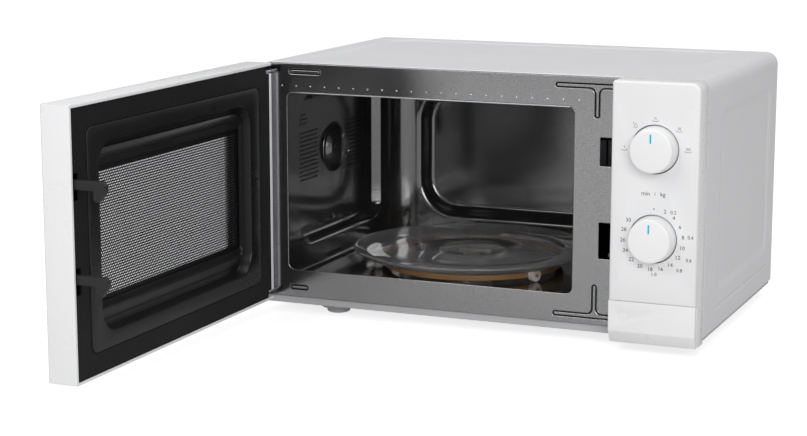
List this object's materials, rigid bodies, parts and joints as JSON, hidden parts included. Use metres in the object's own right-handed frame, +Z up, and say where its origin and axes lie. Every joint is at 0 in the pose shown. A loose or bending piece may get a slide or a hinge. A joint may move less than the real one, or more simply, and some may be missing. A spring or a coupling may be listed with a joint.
{
  "type": "microwave oven",
  "caption": "Countertop microwave oven with a side-hinged door standing open, a lined cooking cavity with a glass turntable, and a panel with two knobs and a door button.",
  "frame": {"origin": "on the table, under the centre of the bounding box of the oven with its door open as stored", "axes": "+X to the right as seen from the front, +Y from the front to the back, +Z up"},
  "size_m": [0.467, 0.654, 0.2524],
  "materials": {
    "white_steel": "smooth white powder coat on pressed steel",
    "white_plastic": "bright white moulded plastic with a soft gloss",
    "grey_enamel": "speckled metallic grey paint",
    "cavity_enamel": "dark grey baked coating, slightly glossy",
    "black_texture": "fine-grained black",
    "dark_plastic": "smooth dark grey moulding",
    "screen_metal": "black coated steel with a field of small holes",
    "smoked_glass": "dark tinted pane",
    "tray_glass": "clear pressed glass",
    "tan_plastic": "tan heat-proof moulding",
    "cream_plastic": "off-white engineering plastic",
    "zinc_steel": "zinc plated sheet steel",
    "copper_winding": "varnished copper winding",
    "rubber_foot": "dark rubber",
    "grey_plastic": "light grey moulding",
    "mica_sheet": "pale mica sheet",
    "circuit_board": "green fibreglass board",
    "bulb_glass": "clear bulb"
  },
  "bodies": {
    "oven": {"outer_case": "white_steel", "back_panel": "zinc_steel", "base_plate": "zinc_steel", "front_frame_top": "grey_enamel", "front_frame_bottom": "grey_enamel", "front_frame_left": "grey_enamel", "front_frame_latch": "grey_enamel", "front_frame_right": "grey_enamel", "cavity": "cavity_enamel", "waveguide_cover": "mica_sheet", "waveguide": "zinc_steel", "magnetron": "zinc_steel", "transformer_core": "zinc_steel", "transformer_winding": "copper_winding", "capacitor": "zinc_steel", "filter_board": "circuit_board", "fan_bracket": "zinc_steel", "fan_motor": "zinc_steel", "lamp_holder": "cream_plastic", "lamp_bulb": "bulb_glass", "lamp_socket_screw": "zinc_steel", "latch_board": "cream_plastic", "primary_switch": "black_texture", "secondary_switch": "black_texture", "monitor_switch": "black_texture", "lever_spring": "zinc_steel", "control_panel": "white_plastic", "timer_unit": "cream_plastic", "power_selector": "cream_plastic", "turntable_motor": "zinc_steel", "upper_hinge": "zinc_steel", "lower_hinge": "zinc_steel", "cord_gland": "black_texture", "foot_front_left": "grey_plastic", "foot_front_right": "rubber_foot", "foot_rear_left": "rubber_foot", "foot_rear_right": "rubber_foot"},
    "door": {"door_shell": "white_plastic", "door_window": "smoked_glass", "door_frame": "screen_metal", "door_screen": "screen_metal", "choke_cover": "dark_plastic", "door_inner_bezel": "black_texture", "latch_spring": "zinc_steel"},
    "latch": {"latch_bar": "dark_plastic"},
    "power_knob": {"power_knob": "white_plastic", "power_spindle": "zinc_steel"},
    "timer_knob": {"timer_knob": "white_plastic", "timer_spindle": "zinc_steel"},
    "door_button": {"door_button": "white_plastic"},
    "release_lever": {"release_lever": "cream_plastic"},
    "turntable": {"glass_tray": "tray_glass", "drive_coupler": "cream_plastic"},
    "roller_ring": {"roller_ring": "tan_plastic"},
    "roller_1": {"roller_1": "cream_plastic"},
    "roller_2": {"roller_2": "cream_plastic"},
    "roller_3": {"roller_3": "cream_plastic"},
    "fan": {"fan_blade": "cream_plastic"}
  },
  "joints": [
    {"name": "door_swing", "type": "hinge", "parent": "oven", "child": "door", "pos_m": [-0.2115, 0.03495, 0.133], "axis": [0, 0, 1], "range_deg": [-8, 90]},
    {"name": "latch_lift", "type": "slide", "parent": "door", "child": "latch", "axis": [0, 0, 1], "range_m": [0, 0.005], "stiffness_N_per_m": 250, "springref_m": -0.002, "deforming": ["latch_spring"]},
    {"name": "power_turn", "type": "hinge", "parent": "oven", "child": "power_knob", "pos_m": [0.1925, 0.01295, 0.1915], "axis": [0, 1, 0], "range_deg": [-90, 90]},
    {"name": "timer_turn", "type": "hinge", "parent": "oven", "child": "timer_knob", "pos_m": [0.1925, 0.01295, 0.1095], "axis": [0, 1, 0], "range_deg": [0, 305]},
    {"name": "button_press", "type": "slide", "parent": "oven", "child": "door_button", "axis": [0, 1, 0], "range_m": [0, 0.0045], "stiffness_N_per_m": 500, "springref_m": -0.001},
    {"name": "lever_rock", "type": "hinge", "parent": "oven", "child": "release_lever", "pos_m": [0.1645, 0.05145, 0.054], "axis": [1, 0, 0], "range_deg": [0, 14]},
    {"name": "tray_turn", "type": "hinge", "parent": "oven", "child": "turntable", "pos_m": [-0.0415, 0.16895, 0.044], "axis": [0, 0, 1], "continuous": true},
    {"name": "ring_turn", "type": "hinge", "parent": "oven", "child": "roller_ring", "pos_m": [-0.0415, 0.16895, 0.0425], "axis": [0, 0, 1], "continuous": true},
    {"name": "roller_1_spin", "type": "hinge", "parent": "roller_ring", "child": "roller_1", "pos_m": [-0.0415, 0.26595, 0.0425], "axis": [0, 1, 0], "continuous": true},
    {"name": "roller_2_spin", "type": "hinge", "parent": "roller_ring", "child": "roller_2", "pos_m": [-0.1255, 0.12045, 0.0425], "axis": [-0.866, -0.5, 0], "continuous": true},
    {"name": "roller_3_spin", "type": "hinge", "parent": "roller_ring", "child": "roller_3", "pos_m": [0.0425, 0.12045, 0.0425], "axis": [0.866, -0.5, 0], "continuous": true},
    {"name": "fan_spin", "type": "hinge", "parent": "oven", "child": "fan", "pos_m": [0.1705, 0.28795, 0.144], "axis": [0, 1, 0], "continuous": true}
  ],
  "couplings": [
    {"joint": "lever_rock", "follows": "button_press", "rad_per_m": 53.1},
    {"joint": "ring_turn", "follows": "tray_turn", "ratio": 0.5},
    {"joint": "roller_1_spin", "follows": "tray_turn", "ratio": -7.6984},
    {"joint": "roller_2_spin", "follows": "tray_turn", "ratio": -7.6984},
    {"joint": "roller_3_spin", "follows": "tray_turn", "ratio": -7.6984}
  ]
}
